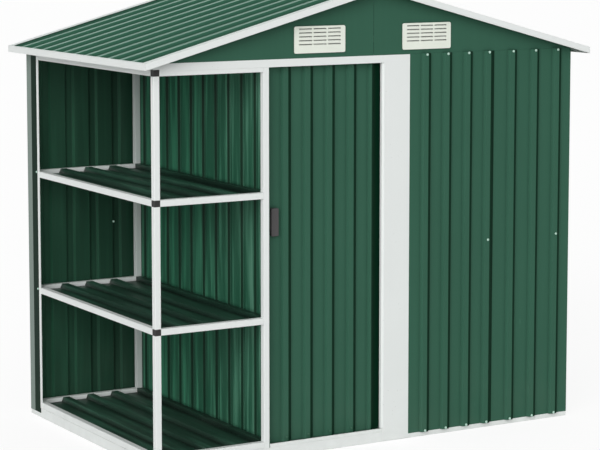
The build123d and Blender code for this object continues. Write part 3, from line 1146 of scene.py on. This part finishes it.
@dataclass
class RidgeFastenings(Fastenings):
    """Painted screws along both edges of the ridge cap."""

    name: str = "ridge_screws"
    slot: str = "roof_green"
    finish: Finish = SCREW_GREEN
    seed: int = 15
    inset: float = 14 * MM
    edge_zone: float = 0.5 * MM

    def places(self) -> Iterator[tuple[Vector, Vector]]:
        """Over each of the roof's ribs but the outermost, on both slopes.

        Returns:
            Place and direction of each head.
        """
        cap = Node("ridge_cap")
        low, high = cap.box()
        peak = max(point.z for point in cap.points() if abs(point.x) < TOUCH)
        edge = max(point.z for point in cap.points() if point.x < low.x + self.edge_zone)
        fall = (peak - edge) / high.x
        for side in (-1, 1):
            way = Vector((side * fall, 0, 1)).normalized()
            x = side * (high.x - self.inset)
            for y in Node("roof_left").crests(Way.UP, Y)[1:-1]:
                yield Vector((x, y, peak - fall * abs(x))), way


@dataclass
class DoorFastenings(Fastenings):
    """Screws of the door's channels, through the crests of its panel."""

    name: str = "door_screws"
    body: str = "door"
    slot: str = "wall_green"
    finish: Finish = SCREW_GREEN
    seed: int = 16
    inset: float = 12 * MM

    def places(self) -> Iterator[tuple[Vector, Vector]]:
        """Foot and head of each crest but the last.

        Returns:
            Place and direction of each head.
        """
        panel = Node("door_panel")
        low, high = panel.box()
        foot = Node("door_rails").box()[0].z
        for x in panel.crests(Way.FRONT, X)[:-1]:
            for z in (foot + self.inset, high.z - self.inset):
                yield Vector((x, low.y, z)), Way.FRONT.value


@dataclass(frozen=True)
class Sun:
    """A distant lamp. Its place and how wide it looks are in degrees, azimuth from the front to the right."""

    name: str
    azimuth: float
    elevation: float
    level: float
    softness: float
    colour: Colour = (1.0, 1.0, 1.0)
    gloss_only: bool = False

    def build(self) -> None:
        """Hangs the lamp."""
        light = bpy.data.lights.new(self.name, "SUN")
        light.energy = self.level
        light.angle = radians(self.softness)
        light.color = self.colour
        lamp = bpy.data.objects.new(self.name, light)
        lamp.visible_diffuse = not self.gloss_only
        bpy.context.scene.collection.objects.link(lamp)
        turn, rise = radians(self.azimuth), radians(self.elevation)
        towards = Vector((sin(turn) * cos(rise), -cos(turn) * cos(rise), sin(rise)))
        lamp.rotation_euler = towards.to_track_quat("Z", "Y").to_euler()


@dataclass
class Studio:
    """Floor, world, lamps and camera."""

    floor_half: float = 60.0
    floor_colour: Colour = paint(236, 236, 236)
    floor_roughness: float = 0.9
    floor_specular: float = 0.1
    floor_glow: float = 1.13
    floor_glow_share: float = 0.76
    floor_glow_edge: float = 1 * MM
    key: Sun = Sun("key", azimuth=-44.0, elevation=18.0, level=2.05, softness=50.0)
    rim: Sun = Sun(
        "rim", azimuth=157.0, elevation=14.0, level=0.34, softness=30.0, colour=(0.76, 1.0, 0.9), gloss_only=True
    )
    ambient: float = 0.52
    mirrored: float = 0.06
    camera_place: Sequence[float] = (-4.5557, -7.8191, 2.1113)
    camera_yaw: float = 30.285
    camera_pitch: float = 6.282
    camera_lens: float = 130.278
    camera_sensor: float = 36.0
    camera_shift: float = -0.12
    camera_reach: float = 200.0

    def build(self) -> None:
        """Sets up everything that isn't part of the shed."""
        self.floor()
        self.world()
        self.key.build()
        self.rim.build()
        self.camera()
        log.info("studio: floor, world, two lamps and camera")

    def floor(self) -> None:
        """A plain pale floor that keeps the shed's shadow, and glows to the camera outside the shed's walls."""
        half = self.floor_half
        mesh = bpy.data.meshes.new("floor")
        mesh.from_pydata([(-half, -half, 0), (half, -half, 0), (half, half, 0), (-half, half, 0)], [], [(0, 1, 2, 3)])
        floor = bpy.data.objects.new("floor", mesh)
        bpy.context.scene.collection.objects.link(floor)
        shader = Shader("floor_paper")
        shader.set(
            Base_Color=self.floor_colour, Roughness=self.floor_roughness, Specular_IOR_Level=self.floor_specular
        )
        light = shader.node("ShaderNodeEmission", {}, {"Color": (1, 1, 1), "Strength": self.floor_glow})
        beyond = [
            (place * place).ramp(Band((wall - self.floor_glow_edge) ** 2, wall**2))
            for place, wall in zip(shader.axes(), Node("base_rails_side").box()[1].xy)
        ]
        seen = shader.ray("Is Camera Ray") * self.floor_glow_share * beyond[X].most(beyond[Y])
        mixed = shader.node("ShaderNodeMixShader", {}, {0: seen, 1: shader.surface.outputs[0], 2: light.outputs[0]})
        shader.feed(shader.output.inputs["Surface"], mixed.outputs[0])
        mesh.materials.append(shader.material)

    def world(self) -> None:
        """A white room to the camera, an even dim one to the shed, and a darker one to its gloss."""
        world = bpy.data.worlds.new("studio")
        world.use_nodes = True
        bpy.context.scene.world = world
        tree = Tree(world.node_tree)
        to_camera = tree.ray("Is Camera Ray") * (1 - self.ambient)
        to_gloss = tree.ray("Is Glossy Ray") * (self.mirrored - self.ambient)
        back = tree.node("ShaderNodeBackground", {}, {"Strength": to_camera + to_gloss + self.ambient})
        tree.node("ShaderNodeOutputWorld", {}, {"Surface": back.outputs[0]})

    def camera(self) -> None:
        """The photograph's viewing angle."""
        data = bpy.data.cameras.new("camera")
        data.lens = self.camera_lens
        data.sensor_width = self.camera_sensor
        data.shift_y = self.camera_shift
        data.clip_end = self.camera_reach
        camera = bpy.data.objects.new("camera", data)
        camera.location = self.camera_place
        camera.rotation_euler = (radians(90 - self.camera_pitch), 0, radians(-self.camera_yaw))
        bpy.context.scene.collection.objects.link(camera)
        bpy.context.scene.camera = camera


def placed_finishes() -> dict[Finish, tuple[str, ...]]:
    """Finishes with painted shade, painted shadow and painted light at places that are read from the nodes.

    Returns:
        The nodes that have each finish.
    """
    wall_low, wall_high = Node("rack_back_wall").box()
    # Painted light on the rack's back wall, paler towards its open side.
    painted_light = OpenSideLight(Band(wall_high.x, wall_low.x))
    made = {
        replace(PARTITION, painted_shade=GrooveShade(face=Node("partition_wall").box()[0].x)): ("partition_wall",),
        replace(INNER, tones=(*INNER.tones, painted_light)): ("rack_back_wall",),
    }
    # Painted shade beside the ribs of the front sheets, and a painted shadow of the stile on the door's edge.
    for name in ("front_wall_inner", "front_wall_corner", "door_panel"):
        painted_shade = RibShade.on(name, end_hidden=name == "door_panel")
        made[replace(WALL, name=f"{name}_paint", painted_shade=painted_shade)] = (name,)
    return made


def dress_nodes() -> None:
    """Gives every CAD node its finish."""
    for finish, names in {**NODE_FINISHES, **placed_finishes()}.items():
        for name in names:
            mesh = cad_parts[name].data
            mesh.materials.clear()
            mesh.materials.append(material_of(finish))
            log.info("%s: %s", name, finish.name)


def main() -> None:
    """Builds the studio, dresses the shed's nodes, and adds the trays' edges and the screws."""
    logging.basicConfig(level=logging.INFO)
    Studio().build()
    dress_nodes()
    for part in (ShelfEdges(), WallFastenings(), CornerFastenings(), RidgeFastenings(), DoorFastenings()):
        part.build()
    bpy.context.scene.view_settings.view_transform = "Standard"


if __name__ == "__main__":
    main()
